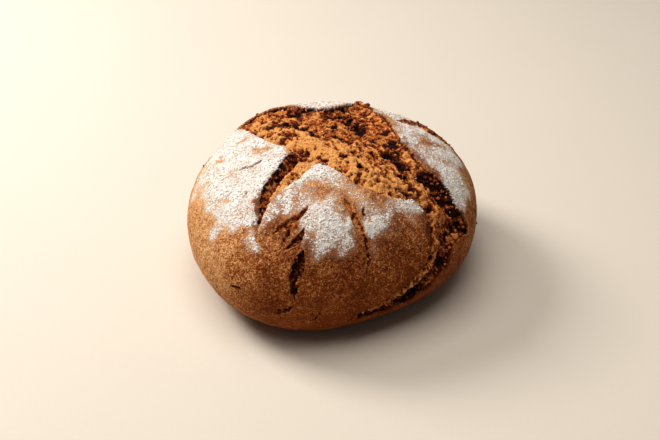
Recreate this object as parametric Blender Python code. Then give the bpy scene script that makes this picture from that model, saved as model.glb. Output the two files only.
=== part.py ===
"""A round rye loaf that tore open across its crown in the oven: one solid, in metres, +Z up.

The origin is the middle of the flat base. The loaf is a fine ball of triangles whose corners move out along
rays from a core point, which lies on the loaf's axis at the height of its widest ring. Each corner first goes
to the smooth form of the loaf, and then in or out by the relief of the tears, cracks, ledges and holes.

A place on the crust is (bearing, slope) in degrees, seen from the core. The bearing turns anticlockwise from
+X. The slope is 0 at the crown, 90 at the widest ring and more below it.
"""

import math

import bmesh
import bpy
import numpy as np
from mathutils import Vector, noise

MM = 0.001

# The smooth form
LOAF_HEIGHT = 105 * MM
BELLY_HEIGHT = 40 * MM
MEAN_RADIUS = 105.7 * MM
OUTLINE_WAVES = ((2, 2.7 * MM, 45), (3, 3.3 * MM, 0), (5, 1.3 * MM, 36))  # lobes, size, bearing of one crest
DOME_POWER = 2.26  # 2 would be an ellipsoid, more is fuller
TUCK_POWER = 2.18
TUCK_DEPTH = 1.4 * BELLY_HEIGHT  # how far down the tucked-in side would close, if the base didn't cut it

# The mesh: triangle sides on the ball, and near and in the tears
BALL_SUBDIVISIONS = 5
CRUMB_SPACING = 3.3 * MM
LIP_SPACING = 2.8 * MM
LIP_BAND = 3 * MM
SNAP_SHARE = 0.3  # a corner this near to a lip, as a share of its edge, moves onto it
BASE_SNAP = 0.5 * MM

# The big tear, from its tip at the left over the crown and down the right side to the front of the base
RIP_FRONT_LIP = (
    (145, 65), (155, 52), (164, 45), (173, 39), (-177, 33), (-166, 29), (-150, 25), (-114, 24), (-100, 26),
    (-90, 28), (-78, 34), (-70, 40), (-61, 46), (-53, 52), (-46, 56), (-41, 59), (-41, 64), (-43, 70),
    (-45, 76), (-47, 81), (-52, 86), (-59, 91), (-67, 95), (-78, 98),
)  # fmt: skip
RIP_BACK_LIP = (
    (-78, 100), (-64, 99), (-52, 96), (-45, 92), (-40, 88), (-37, 83), (-31, 81), (-24, 82), (-23, 76),
    (-22, 70), (-19, 65), (-17, 58), (-15, 52), (-10, 47), (0, 42), (18, 40), (37, 42), (50, 45), (60, 49),
    (68, 53), (76, 51), (83, 43), (90, 39), (99, 39), (107, 43), (115, 51), (122, 58), (130, 63), (138, 66),
    (145, 65),
)  # fmt: skip

# Heights across the big tear, from its front lip (share 0) to its back lip (share 1)
RIP_SHARES = (0.0, 0.08, 0.3, 0.52, 0.68, 0.84, 0.94, 1.0)
RIP_HEIGHTS = (-2.5 * MM, -2.0 * MM, 0.5 * MM, -3.5 * MM, -6.5 * MM, -7.0 * MM, -6.0 * MM, -2.0 * MM)
LEDGE_COUNT = 3
LEDGE_HEIGHT = 3 * MM
LEDGE_WOBBLE = 28 * MM  # size of the swings in the ledges' course
LEDGES_START = 0.35  # the share where the ledges begin, and the shares they take to reach full height
LEDGES_FADE_IN = 0.2

# The side tear, a wedge open to the big one
BRANCH_OUTLINE = (
    (-150, 21), (-151, 27), (-149, 31), (-143, 36), (-139, 42), (-137, 47), (-134, 51), (-130, 56), (-126, 60),
    (-122, 66), (-122, 61), (-123, 57), (-124, 52), (-123, 48), (-120, 44), (-116, 39), (-113, 33), (-109, 25),
    (-120, 18),
)  # fmt: skip
BRANCH_HEIGHT = -2 * MM
BRANCH_ROUGHNESS = 0.6  # of the crumb's in the big tear
WALL_WIDTH = 1.6 * MM  # how far in from a lip the crumb reaches its full depth

# Lips that stand up from the crust: how high, how far back they fade
BACK_LIP_RISE = 1.6 * MM
FRONT_LIP_RISE = 0.5 * MM
LIP_FADE = 9 * MM

# Cracks in the crust: half width, depth, waypoints
CRACKS = (
    (3.0 * MM, 3.0 * MM, ((-104, 53), (-106, 57), (-109, 60), (-111, 62), (-111, 65))),
    (2.8 * MM, 3.5 * MM, ((-102, 61), (-104, 64), (-106, 68))),
    (3.6 * MM, 4.5 * MM, ((-101, 68), (-101, 71), (-103, 74), (-103, 78), (-103, 84))),
    (2.8 * MM, 3.0 * MM, ((-80, 48), (-78, 54), (-76, 58), (-74, 61), (-74, 65), (-74, 70), (-73, 74), (-75, 78))),
    (3.4 * MM, 3.5 * MM, ((22, 47), (29, 55), (31, 61), (30, 66), (27, 71))),
    (1.8 * MM, 3.5 * MM, ((-11, 78), (-9, 84), (-6, 90), (-7, 95))),
    (2.6 * MM, 2.0 * MM, ((-108, 92), (-104, 89), (-101, 87), (-98, 87), (-95, 90), (-93, 94))),
    (2.4 * MM, 3.0 * MM, ((150, 80), (156, 74), (165, 70), (172, 71))),
    (2.4 * MM, 3.0 * MM, ((96, 74), (90, 80), (88, 86), (83, 91))),
    (2.0 * MM, 2.5 * MM, ((52, 68), (55, 75), (53, 81), (56, 87))),
)

CRACK_RAGGEDNESS = 0.6  # of the big tear's

# Narrow trenches in the torn crumb: half width, depth, waypoints
TRENCHES = (
    (7.0 * MM, 10.0 * MM, ((-8, 43), (-18, 51), (-22, 59), (-25, 65), (-26, 71), (-27, 77), (-26, 82))),
    (5.0 * MM, 9.0 * MM, ((-33, 78), (-38, 81), (-40, 86), (-43, 90), (-49, 94))),
    (6.5 * MM, 8.0 * MM, ((-152, 25), (-142, 34), (-136, 41), (-133, 47), (-130, 52), (-126, 57), (-123, 62))),
    (3.5 * MM, 5.0 * MM, ((154, 50), (154, 43), (153, 36), (148, 29), (132, 28), (118, 22))),
    (3.0 * MM, 4.0 * MM, ((138, 52), (133, 45), (127, 41), (117, 37), (104, 31))),
    (2.5 * MM, 4.0 * MM, ((-46, 50), (-43, 54), (-40, 60))),
    (3.5 * MM, 4.0 * MM, ((-45, 84), (-54, 90), (-66, 97))),
)
TRENCH_END = 0.12  # share of a trench's length over which each end rises

# Holes and knobs in the torn crumb: bearing, slope, radius, height above or (negative) below the crumb
HOLES_AND_KNOBS = (
    (49, 25, 9 * MM, -8 * MM),
    (162, 8, 6 * MM, -5 * MM),
    (3, 18, 6.5 * MM, -5 * MM),
    (-21, 37, 8 * MM, -10 * MM),
    (-26, 43, 7 * MM, -9 * MM),
    (-34, 48, 5.5 * MM, -5 * MM),
    (-132, 22, 7 * MM, -4 * MM),
    (139, 29, 5 * MM, -4 * MM),
    (74, 47, 8.5 * MM, 11.5 * MM),
    (67, 48, 8.5 * MM, 13 * MM),
    (-31, 70, 9 * MM, 3 * MM),
    (-22, 25, 8 * MM, 2.5 * MM),
    (170, 30, 9 * MM, 2.5 * MM),
)
FLATNESS = 1.3  # 1 is a round-topped knob, more has a flatter top

# Unevenness: size of one lump, height
CRUST_LUMPS = ((45 * MM, 0.9 * MM), (18 * MM, 0.4 * MM))
CRUMB_LUMPS = ((16 * MM, 1.6 * MM), (8 * MM, 1.1 * MM))
RIP_GRAIN = Vector((0.82, -0.57, 0))  # the torn strands lie along the big tear
GRAIN_STRETCH = 2.4
LIP_RAGGEDNESS = ((11 * MM, 1.1 * MM), (5 * MM, 0.7 * MM))

CRUST_SLOT, CRUST_COLOUR = 0, (0.25, 0.11, 0.045, 1)
CRUMB_SLOT, CRUMB_COLOUR = 1, (0.42, 0.18, 0.06, 1)
BREAD_ROUGHNESS = 0.85
PATH_STEPS = 5  # points on a curve from one waypoint to the next


def smooth_step(x):
    x = np.clip(x, 0, 1)
    return x * x * (3 - 2 * x)


def on_chart(waypoints):
    """(bearing, slope) places laid flat: a place is its slope in degrees away from the middle, at its bearing."""
    bearing, slope = np.radians([w[0] for w in waypoints]), np.array([w[1] for w in waypoints], float)
    return np.column_stack((slope * np.cos(bearing), slope * np.sin(bearing)))


def chart_of(directions):
    """Where each direction from the core lies on that flat chart."""
    bearing = np.arctan2(directions[:, 1], directions[:, 0])
    slope = np.degrees(np.arccos(np.clip(directions[:, 2], -1, 1)))
    return np.column_stack((slope * np.cos(bearing), slope * np.sin(bearing)))


def smooth_path(waypoints):
    """A Catmull-Rom curve through the waypoints, as points on the chart."""
    knots = on_chart(waypoints)
    knots = np.vstack((2 * knots[0] - knots[1], knots, 2 * knots[-1] - knots[-2]))
    t = (np.arange(PATH_STEPS) / PATH_STEPS)[:, None]
    spans = []
    for a, b, c, d in zip(knots, knots[1:], knots[2:], knots[3:]):
        spans.append(
            0.5 * (2 * b + (c - a) * t + (2 * a - 5 * b + 4 * c - d) * t**2 + (3 * b - a - 3 * c + d) * t**3)
        )
    return np.vstack(spans + [knots[-2:-1]])


def distance_to(path, spots):
    """How far each spot is from the path, and how far along it the nearest point is, from 0 to 1."""
    pieces = np.diff(path, axis=0)
    lengths = np.linalg.norm(pieces, axis=1)
    travelled = np.concatenate(([0], np.cumsum(lengths)))
    nearest = np.full(len(spots), np.inf)
    along = np.zeros(len(spots))
    for start, piece, length, before in zip(path, pieces, lengths, travelled):
        share = np.clip((spots - start) @ piece / max(length**2, 1e-12), 0, 1)
        away = np.linalg.norm(spots - start - share[:, None] * piece, axis=1)
        closer = away < nearest
        nearest[closer] = away[closer]
        along[closer] = (before + share[closer] * length) / travelled[-1]
    return nearest, along


def is_inside(outline, spots):
    inside = np.zeros(len(spots), bool)
    for (x0, y0), (x1, y1) in zip(outline, np.roll(outline, -1, axis=0)):
        crosses = (y0 > spots[:, 1]) != (y1 > spots[:, 1])
        height = y1 - y0 if y1 != y0 else 1e-9
        inside ^= crosses & (spots[:, 0] < x0 + (x1 - x0) * (spots[:, 1] - y0) / height)
    return inside


def depth_inside(outline, spots):
    """How far each spot is inside the closed outline, negative outside."""
    away, _ = distance_to(np.vstack((outline, outline[:1])), spots)
    return np.where(is_inside(outline, spots), away, -away)


def lumps(points, sizes, seed):
    """Soft unevenness at each point: the sum of one noise for each (size, height)."""
    total = np.zeros(len(points))
    for i, (size, height) in enumerate(sizes):
        shift = Vector((seed, 3.1 * i, 7.7 * seed))
        total += [height * noise.noise(Vector(p) / size + shift) for p in points]
    return total


def along_grain(points):
    """The points squeezed along the big tear, so that noise there makes long strands."""
    grain = np.array(RIP_GRAIN.normalized())
    return points - np.outer(points @ grain, grain) * (1 - 1 / GRAIN_STRETCH)


def smooth_form(directions):
    """How far the smooth loaf reaches from the core in each direction."""
    bearing = np.arctan2(directions[:, 1], directions[:, 0])
    belly = np.full(len(directions), MEAN_RADIUS)
    for lobes, size, crest in OUTLINE_WAVES:
        belly += size * np.cos(lobes * (bearing - math.radians(crest)))
    upward = directions[:, 2] >= 0
    power = np.where(upward, DOME_POWER, TUCK_POWER)
    reach_up = np.where(upward, LOAF_HEIGHT - BELLY_HEIGHT, TUCK_DEPTH)
    level = np.hypot(directions[:, 0], directions[:, 1]) / belly
    return (level**power + (np.abs(directions[:, 2]) / reach_up) ** power) ** (-1 / power)


class Surface:
    """The loaf's surface in some directions from the core, and what the tears do to it there."""

    def __init__(self, directions):
        self.directions = directions
        self.reach = smooth_form(directions)
        self.points = directions * self.reach[:, None]
        self.spots = chart_of(directions)
        self.scale = np.radians(self.reach)  # length on the loaf of a degree on the chart
        self.measure_tears()

    def path_distance(self, waypoints):
        away, along = distance_to(smooth_path(waypoints), self.spots)
        return away * self.scale, along

    def measure_tears(self):
        """How deep each point is inside the rip, the branch, a crack and any of them, negative outside."""
        front, back = smooth_path(RIP_FRONT_LIP), smooth_path(RIP_BACK_LIP)
        ragged = lumps(self.points, LIP_RAGGEDNESS, seed=1)
        self.to_front = distance_to(front, self.spots)[0] * self.scale
        self.to_back = distance_to(back, self.spots)[0] * self.scale
        self.rip = depth_inside(np.vstack((front, back[1:-1])), self.spots) * self.scale + ragged
        self.branch = depth_inside(smooth_path(BRANCH_OUTLINE), self.spots) * self.scale + ragged
        self.cracks = []
        for half_width, _, waypoints in CRACKS:
            away, along = self.path_distance(waypoints)
            taper = np.sqrt(np.clip(4 * along * (1 - along), 0, 1))
            self.cracks.append(half_width * taper - away + CRACK_RAGGEDNESS * ragged)
        self.torn = np.maximum.reduce([self.rip, self.branch, *self.cracks])

    def rip_floor(self):
        """Height of the torn crumb in the rip: its cross-section, with ledges in the half near the back lip."""
        share = self.to_front / np.maximum(self.to_front + self.to_back, 1e-9)
        floor = np.interp(share, RIP_SHARES, RIP_HEIGHTS)
        wobble = lumps(self.points, ((LEDGE_WOBBLE, 1.0),), seed=2)
        ledge = (share * LEDGE_COUNT + wobble) % 1.0
        return floor + LEDGE_HEIGHT * (ledge - 0.5) * smooth_step((share - LEDGES_START) / LEDGES_FADE_IN)

    def trench_depth(self):
        deepest = np.zeros(len(self.points))
        for half_width, depth, waypoints in TRENCHES:
            away, along = self.path_distance(waypoints)
            ends = smooth_step(along / TRENCH_END) * smooth_step((1 - along) / TRENCH_END)
            deepest = np.maximum(deepest, depth * ends * smooth_step(1 - away / half_width))
        return deepest

    def holes_and_knobs(self):
        total = np.zeros(len(self.points))
        for bearing, slope, radius, height in HOLES_AND_KNOBS:
            away = np.linalg.norm(self.spots - on_chart([(bearing, slope)]), axis=1) * self.scale
            total += height * smooth_step(FLATNESS * (1 - away / radius))
        return total

    def relief(self):
        """How far each point lies outside the smooth form."""
        crumb_noise = lumps(along_grain(self.points), CRUMB_LUMPS, seed=3)
        rip = self.rip_floor() + crumb_noise + self.holes_and_knobs()
        branch = BRANCH_HEIGHT + BRANCH_ROUGHNESS * crumb_noise
        torn = np.where(self.rip > self.branch, rip, branch) - self.trench_depth()
        torn = torn * smooth_step(np.maximum(self.rip, self.branch) / WALL_WIDTH)
        for inside, (half_width, depth, _) in zip(self.cracks, CRACKS):
            torn = np.where(inside > 0, np.minimum(torn, -depth * smooth_step(inside / half_width)), torn)
        lip_height = np.where(self.to_back < self.to_front, BACK_LIP_RISE, FRONT_LIP_RISE)
        lip = lip_height * smooth_step(1 + np.maximum(self.rip, self.branch) / LIP_FADE)
        return lumps(self.points, CRUST_LUMPS, seed=4) + lip * (self.torn < 0) + torn * (self.torn > 0)


def directions_of(ball):
    return np.array([vert.co.normalized() for vert in ball.verts])


def refine(ball):
    """Halves the triangle sides in the tears and at their lips that are longer than the spacing wanted there."""
    surface = Surface(directions_of(ball))
    near_lip = np.abs(surface.torn) < LIP_BAND
    wanted = np.where(near_lip, LIP_SPACING, np.where(surface.torn > 0, CRUMB_SPACING, np.inf))
    ball.verts.index_update()
    long_edges = []
    for edge in ball.edges:
        a, b = (vert.index for vert in edge.verts)
        length = np.linalg.norm(surface.points[a] - surface.points[b])
        if length > min(wanted[a], wanted[b]) * math.sqrt(2):
            long_edges.append(edge)
    bmesh.ops.subdivide_edges(ball, edges=long_edges, cuts=1)
    bmesh.ops.triangulate(ball, faces=ball.faces)


def follow_lips(ball):
    """Puts corners on the lips of the tears, so that each lip is an unbroken line of edges."""
    inside = dict(zip(ball.verts, Surface(directions_of(ball)).torn))
    for edge in ball.edges:
        near, far = sorted(edge.verts, key=lambda vert: abs(inside[vert]))
        share = abs(inside[near]) / max(abs(inside[near]) + abs(inside[far]), 1e-12)
        if inside[near] * inside[far] < 0 and share < SNAP_SHARE:
            near.co = near.co.lerp(far.co, share)
            inside[near] = 0
    for edge in list(ball.edges):
        a, b = edge.verts
        if inside[a] * inside[b] < 0:
            share = abs(inside[a]) / (abs(inside[a]) + abs(inside[b]))
            _, corner = bmesh.utils.edge_split(edge, a, share)
            inside[corner] = 0
    bmesh.ops.connect_verts(ball, verts=[vert for vert in ball.verts if inside[vert] == 0])
    bmesh.ops.triangulate(ball, faces=ball.faces)


def build_loaf():
    ball = bmesh.new()
    bmesh.ops.create_icosphere(ball, subdivisions=BALL_SUBDIVISIONS, radius=1)
    refine(ball)
    refine(ball)
    follow_lips(ball)
    surface = Surface(directions_of(ball))
    reach = surface.reach + surface.relief()
    ball.verts.index_update()
    for face in ball.faces:
        face.material_index = CRUMB_SLOT if sum(surface.torn[vert.index] for vert in face.verts) > 0 else CRUST_SLOT
    for vert, direction, distance in zip(ball.verts, surface.directions, reach):
        vert.co = Vector(direction * distance) + Vector((0, 0, BELLY_HEIGHT))
    cut_base_flat(ball)
    centre_on_origin(ball)
    mesh = bpy.data.meshes.new("rye_loaf")
    ball.to_mesh(mesh)
    ball.free()
    return mesh


def cut_base_flat(ball):
    """Slices the loaf at Z = 0, where it lies, and closes the cut with one flat face."""
    cut = bmesh.ops.bisect_plane(
        ball,
        geom=ball.verts[:] + ball.edges[:] + ball.faces[:],
        plane_co=(0, 0, 0),
        plane_no=(0, 0, 1),
        dist=BASE_SNAP,
        use_snap_center=True,
        clear_inner=True,
    )
    rim = [piece for piece in cut["geom_cut"] if isinstance(piece, bmesh.types.BMEdge)]
    bmesh.ops.contextual_create(ball, geom=rim)
    bmesh.ops.recalc_face_normals(ball, faces=ball.faces)


def centre_on_origin(ball):
    xs, ys = [v.co.x for v in ball.verts], [v.co.y for v in ball.verts]
    middle = Vector((min(xs) + max(xs), min(ys) + max(ys), 0)) / 2
    bmesh.ops.translate(ball, verts=ball.verts, vec=-middle)


def bread_material(name, colour):
    material = bpy.data.materials.new(name)
    material.use_nodes = True
    shader = material.node_tree.nodes["Principled BSDF"]
    shader.inputs["Base Color"].default_value = colour
    shader.inputs["Roughness"].default_value = BREAD_ROUGHNESS
    shader.inputs["Metallic"].default_value = 0
    return material


def main():
    for obj in list(bpy.data.objects):
        bpy.data.objects.remove(obj)
    collection = bpy.data.collections.new("rye_bread_loaf")
    bpy.context.scene.collection.children.link(collection)
    mesh = build_loaf()
    mesh.materials.append(bread_material("baked_crust", CRUST_COLOUR))
    mesh.materials.append(bread_material("torn_crumb", CRUMB_COLOUR))
    mesh.shade_smooth()
    mesh.set_sharp_from_angle(angle=math.radians(40))
    collection.objects.link(bpy.data.objects.new("rye_loaf", mesh))


main()
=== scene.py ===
"""The looks of a round rye loaf: floured crust, torn golden crumb, loose crumbs and flour, in a studio.

A place on the crust is (bearing, slope) in degrees, seen from the core, a point on the loaf's axis at the
height of its widest ring. The bearing turns anticlockwise from +X. The slope is 0 at the crown and 90 at the
widest ring.
"""

import math

import bmesh
import bpy
import numpy as np
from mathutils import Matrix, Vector, noise


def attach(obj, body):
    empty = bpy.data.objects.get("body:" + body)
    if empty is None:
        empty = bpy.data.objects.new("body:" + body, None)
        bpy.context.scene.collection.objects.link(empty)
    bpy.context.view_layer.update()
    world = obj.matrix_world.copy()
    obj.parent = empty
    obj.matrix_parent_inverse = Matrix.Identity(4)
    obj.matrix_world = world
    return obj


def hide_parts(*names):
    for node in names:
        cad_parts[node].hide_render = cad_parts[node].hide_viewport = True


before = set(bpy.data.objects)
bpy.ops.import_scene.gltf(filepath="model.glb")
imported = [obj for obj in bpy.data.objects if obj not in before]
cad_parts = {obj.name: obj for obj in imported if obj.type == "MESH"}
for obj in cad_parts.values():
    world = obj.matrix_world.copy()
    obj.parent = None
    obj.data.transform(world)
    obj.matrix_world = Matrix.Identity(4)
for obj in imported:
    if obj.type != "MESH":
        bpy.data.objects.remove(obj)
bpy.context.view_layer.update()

MM = 0.001
NODE = "rye_loaf"

# The smooth form, as in the solid
LOAF_HEIGHT = 105 * MM
BELLY_HEIGHT = 40 * MM
MEAN_RADIUS = 105.7 * MM
OUTLINE_WAVES = ((2, 2.7 * MM, 45), (3, 3.3 * MM, 0), (5, 1.3 * MM, 36))  # lobes, size, bearing of one crest
DOME_POWER = 2.26
TUCK_POWER = 2.18
TUCK_DEPTH = 1.4 * BELLY_HEIGHT

# The mesh: triangle sides on the crust, in the tears and at their lips
BALL_SUBDIVISIONS = 6
CRUST_SPACING = 1.75 * MM
UNDERSIDE_SPACING = 3.5 * MM
CRUMB_SPACING = 0.8 * MM
LIP_SPACING = 0.75 * MM
LIP_BAND = 1.5 * MM
UNDERSIDE_SLOPE = 112
STEEP_SHARE = 0.6  # of a side's real length that counts where the surface is steep
STEEP_MOST = 2  # times its length seen from outside that it may count
PASSES = 4

# The big tear, from its tip at the left over the crown and down the right side to the front of the base
RIP_FRONT_LIP = (
    (145, 65), (155, 52), (164, 45), (173, 39), (-177, 33), (-166, 29), (-150, 25), (-114, 24), (-100, 26),
    (-90, 28), (-78, 34), (-70, 40), (-61, 46), (-53, 52), (-46, 56), (-41, 59), (-41, 64), (-43, 70),
    (-45, 76), (-48, 80), (-54, 84.5), (-61, 88.5), (-70, 92.5), (-83, 97.5),
)  # fmt: skip
RIP_BACK_LIP = (
    (-83, 99.5), (-64, 99), (-52, 96), (-45, 92), (-40, 88), (-37, 83), (-31, 81), (-24, 82), (-23, 76),
    (-22, 70), (-19, 65), (-17, 58), (-15, 52), (-10, 47), (0, 42), (18, 40), (37, 42), (50, 45), (60, 49),
    (68, 53), (76, 51), (83, 43), (90, 39), (99, 39), (107, 43), (115, 51), (122, 58), (130, 63), (138, 66),
    (145, 65),
)  # fmt: skip

# Heights across the big tear, from its front lip (share 0) to its back lip (share 1)
RIP_SHARES = (0.0, 0.08, 0.3, 0.52, 0.68, 0.84, 0.94, 1.0)
RIP_HEIGHTS = (-2.5 * MM, -2.0 * MM, 0.5 * MM, -3.5 * MM, -6.5 * MM, -7.0 * MM, -6.0 * MM, -2.0 * MM)
LEDGE_COUNT = 3
LEDGE_HEIGHT = 4 * MM
LEDGE_WOBBLE = 28 * MM
LEDGES_START = 0.35
LEDGES_FADE_IN = 0.2

# The side tear, a wedge open to the big one
BRANCH_OUTLINE = (
    (-150, 21), (-151, 27), (-149, 31), (-143, 36), (-139, 42), (-137, 47), (-134, 51), (-130, 56),
    (-126, 60), (-122, 66), (-122, 61), (-123, 57), (-124, 52), (-123, 48), (-120, 44), (-116, 39),
    (-113, 33), (-109, 25), (-120, 18),
)  # fmt: skip
BRANCH_HEIGHT = -2 * MM
BRANCH_ROUGHNESS = 0.6  # of the crumb's in the big tear
WALL_WIDTH = 1.6 * MM
WALL_SLANT = 0.45  # how much wider a wall is for each metre of its height

# Lips that stand up from the crust: how high, how far back they fade, how far they reach over the tear
BACK_LIP_RISE = 1.6 * MM
FRONT_LIP_RISE = 0.5 * MM
LIP_FADE = 9 * MM
LIP_OVERHANG = 1.3 * MM
OVERHANG_BAND = 3 * MM
OVERHANG_END = 0.4 * MM  # how far inside the tear the reach over it ends

# Cracks in the crust: depth and how dark inside (toasting, with painted shade in the crack), then bearing,
# slope and half width in mm at each waypoint.
# The one with a negative depth is a torn ridge that stands up from the right-hand plate.
CRACKS = (
    (4.0 * MM, 0.5, ((-103, 51, 0.8), (-105, 55, 1.8), (-108, 58, 3.4), (-112, 61, 3.6), (-115, 64, 1.6))),
    (4.0 * MM, 0.55, ((-109, 59, 1.6), (-109, 63, 2.8), (-110, 67, 0.8))),
    (4.5 * MM, 0.7, ((-102, 60, 0.8), (-103.5, 64, 3.2), (-106, 66.5, 2.8), (-109, 69, 0.8))),
    (7.0 * MM, 0.85, (
        (-101, 68.5, 1.5), (-101.5, 71, 5.0), (-102.5, 74.5, 6.4), (-103.5, 77.5, 4.6),
        (-103, 80.5, 4.0), (-102.5, 83.5, 2.6), (-102.5, 85.5, 0.8),
    )),
    (4.0 * MM, 0.25, ((-81, 47, 1.2), (-79, 51, 3.0), (-77, 57, 3.4), (-74.5, 62, 2.4), (-74, 65, 1.2))),
    (4.5 * MM, 0.85, ((-74.5, 61, 1.2), (-74, 66, 2.3), (-74.5, 70, 1.8), (-74, 73, 2.0), (-76, 78, 0.8))),
    (-2.2 * MM, 0.75, (
        (38, 48, 1.0), (35, 52, 3.2), (31, 57, 3.4), (26, 59, 3.0), (22, 62, 2.4), (19, 65, 1.4),
        (17, 69, 0.8),
    )),
    (4.5 * MM, 0.9, ((-11, 78, 0.8), (-9, 84, 2.6), (-6, 90, 2.4), (-7, 95, 0.8))),
    (2.6 * MM, 0.6, ((-111, 94, 1.2), (-108, 91.5, 3.2), (-105, 90, 2.4), (-103, 88.5, 0.8))),
    (2.2 * MM, 0.6, ((-99, 88, 0.8), (-96, 89, 1.6), (-94, 91, 2.2), (-95, 94, 2.2), (-98, 96, 0.8))),
    (3.5 * MM, 0.6, ((150, 80, 0.8), (156, 74, 2.8), (165, 70, 2.6), (172, 71, 0.8))),
    (3.5 * MM, 0.6, ((96, 74, 0.8), (90, 80, 2.8), (88, 86, 2.6), (83, 91, 0.8))),
    (3.0 * MM, 0.6, ((52, 68, 0.8), (55, 75, 2.4), (53, 81, 2.2), (56, 87, 0.8))),
)  # fmt: skip
CRACK_RAGGEDNESS = 1.3  # of the big tears'
CRACK_FULLY_RAGGED = 2 * MM  # a crack with a smaller half width is less ragged
CRACK_WALL = 1.8 * MM
CRACK_COARSENESS = 0.55  # of the big tears' fine relief

# Trenches in the torn crumb: bearing, slope, half width in mm and depth in mm at each waypoint
TRENCHES = (
    (
        (-14, 48, 2, 0), (-18, 53, 4, 4), (-22, 58, 6, 7), (-25, 64, 6.5, 10), (-25, 70, 6, 10),
        (-25, 76, 4.5, 8), (-25, 81, 2, 2),
    ),
    (
        (-31, 75, 2, 1), (-34, 79, 3.5, 7), (-38, 83, 4.5, 10), (-41, 87, 4.5, 10), (-45, 91, 3, 7),
        (-50, 95, 1.5, 2),
    ),
    (
        (-150, 23, 4, 0), (-144, 28, 8, 5), (-139, 34, 8, 7), (-135, 41, 6.5, 7), (-131, 48, 5, 6),
        (-128, 54, 4, 6), (-123, 62, 2.5, 5),
    ),
    ((138, 40, 1, 1), (129, 37, 3, 6), (120, 37, 2.5, 5), (110, 33, 2, 4), (98, 30, 1.5, 1)),
    (
        (150, 57, 1.5, 1), (142, 55, 2.5, 4), (133, 56, 3, 6), (124, 55, 3, 6), (117, 50, 3, 5),
        (110, 45, 1.5, 1),
    ),
    ((152, 53, 1, 1), (146, 47, 2, 3), (138, 45, 2.5, 4), (128, 47, 2.5, 4), (118, 47, 1.5, 2)),
    (
        (151, 51, 1.5, 2), (149, 44, 3, 6), (141, 39, 4, 8), (136, 35, 4, 8), (136, 29, 3, 6),
        (138, 23, 3.5, 7), (136, 16, 3, 6), (150, 9, 2, 3),
    ),
    ((-46, 49, 1, 1), (-42, 54, 2.5, 5), (-39, 59, 2.5, 4), (-43, 65, 1.5, 3), (-45, 70, 1, 1)),
    ((-45, 84, 2, 1), (-54, 90, 3, 2.5), (-66, 97, 2, 1)),
)  # fmt: skip
TRENCH_FLATNESS = 1.2

# Holes and knobs in the torn crumb: bearing, slope, radius, height above or (negative) below the crumb
HOLES_AND_KNOBS = (
    (74, 37, 8 * MM, -9 * MM),
    (60, 35, 8.5 * MM, -11 * MM),
    (47, 31, 6.5 * MM, -8 * MM),
    (28, 20, 6.5 * MM, -7 * MM),
    (146, 12, 5.5 * MM, -6 * MM),
    (-12, 37, 6.5 * MM, -12 * MM),
    (-20, 45, 7 * MM, -13 * MM),
    (-34, 45, 3.5 * MM, -5 * MM),
    (-31, 49, 3.5 * MM, -5 * MM),
    (-68, 19, 3.5 * MM, -4 * MM),
    (-41, 19, 3.5 * MM, -4 * MM),
    (-56, 31, 4 * MM, -4 * MM),
    (-140, 21, 5 * MM, -6 * MM),
    (119, 51, 4 * MM, -6 * MM),
    (100, 30, 4 * MM, -5 * MM),
    (20, 33, 4 * MM, -5 * MM),
    (71, 50, 8 * MM, 8 * MM),
    (63, 49, 8 * MM, 8 * MM),
    (-34, 66, 8 * MM, 3 * MM),
    (-22, 27, 6 * MM, 2 * MM),
    (170, 30, 9 * MM, 2 * MM),
)
KNOB_FLATNESS = 1.3  # 1 is a round-topped knob, more has a flatter top

# Hairline cracks in the crust: bearing and slope of the points along each
HAIRLINES = (
    ((-161, 52), (-160, 49), (-158, 47), (-157, 44)),
    ((-158, 46), (-158, 42), (-160, 40)),
    ((-140, 57), (-141, 54)),
    ((-70, 52), (-72, 54), (-71, 56)),
    ((-127, 87), (-124, 86), (-122, 86)),
    ((-12, 62), (-15, 64), (-16, 67)),
)
HAIRLINE_WIDTH = 1.0 * MM
HAIRLINE_DEPTH = 1.8 * MM
HAIRLINE_FLATNESS = 1.4
HAIRLINE_ENDS = 2  # more makes its ends fade over a shorter stretch

# Unevenness: size of one lump, height. The shifts keep the noises of different sizes and seeds apart.
SIZE_SHIFT = 3.1
SEED_SHIFT = 7.7
PORE_SHIFT = 5
CRUST_LUMPS = ((45 * MM, 0.9 * MM), (18 * MM, 0.4 * MM))
CRUMB_LUMPS = ((16 * MM, 1.6 * MM), (8 * MM, 1.1 * MM))
GRAIN_CENTRE = (-72 * MM, -104 * MM)  # the big tear's strands lie along circles round it
GRAIN_RADIUS = 143 * MM
GRAIN_STRETCH = 1.8
LIP_RAGGEDNESS = ((11 * MM, 1.1 * MM), (5 * MM, 0.7 * MM), (2.5 * MM, 0.5 * MM))
FINE_CRUST = ((9 * MM, 0.3 * MM), (4.5 * MM, 0.32 * MM))
FLAKE_SIZE = 4.5 * MM
FLAKE_HEIGHT = 2.1 * MM
FLAKE_WARP = 2.0 * MM
FLAKE_WARP_SIZE = 5 * MM
BEND_SEED = 1  # fixes the vector noise that bends flakes and pores, which otherwise follows the clock
FLAKE_NOISE = (0.9, 2.1, 4, 1.0, 2.0)  # how fast fine detail fades, its scale step, octaves, offset, gain
FLAKES_START = 1.2 * MM  # how far inside a tear the flakes reach their full height
KNOB_SMOOTHNESS = 0.6  # of the flakes' height that a full knob takes away
KNOB_FULL = 5 * MM
FINE_CRUMB = ((1.8 * MM, 0.5 * MM),)
PORES = ((5.5 * MM, 0.34, 2.0 * MM), (2.8 * MM, 0.30, 1.2 * MM))  # size, how rare, depth
PORE_PATCHES = 14 * MM  # size of the patches with more or fewer pores
PORE_PATCHINESS = 0.35
PORE_EDGE = 0.16
PORE_BEND = 0.5
PORE_BEND_SIZE = 0.6

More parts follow.
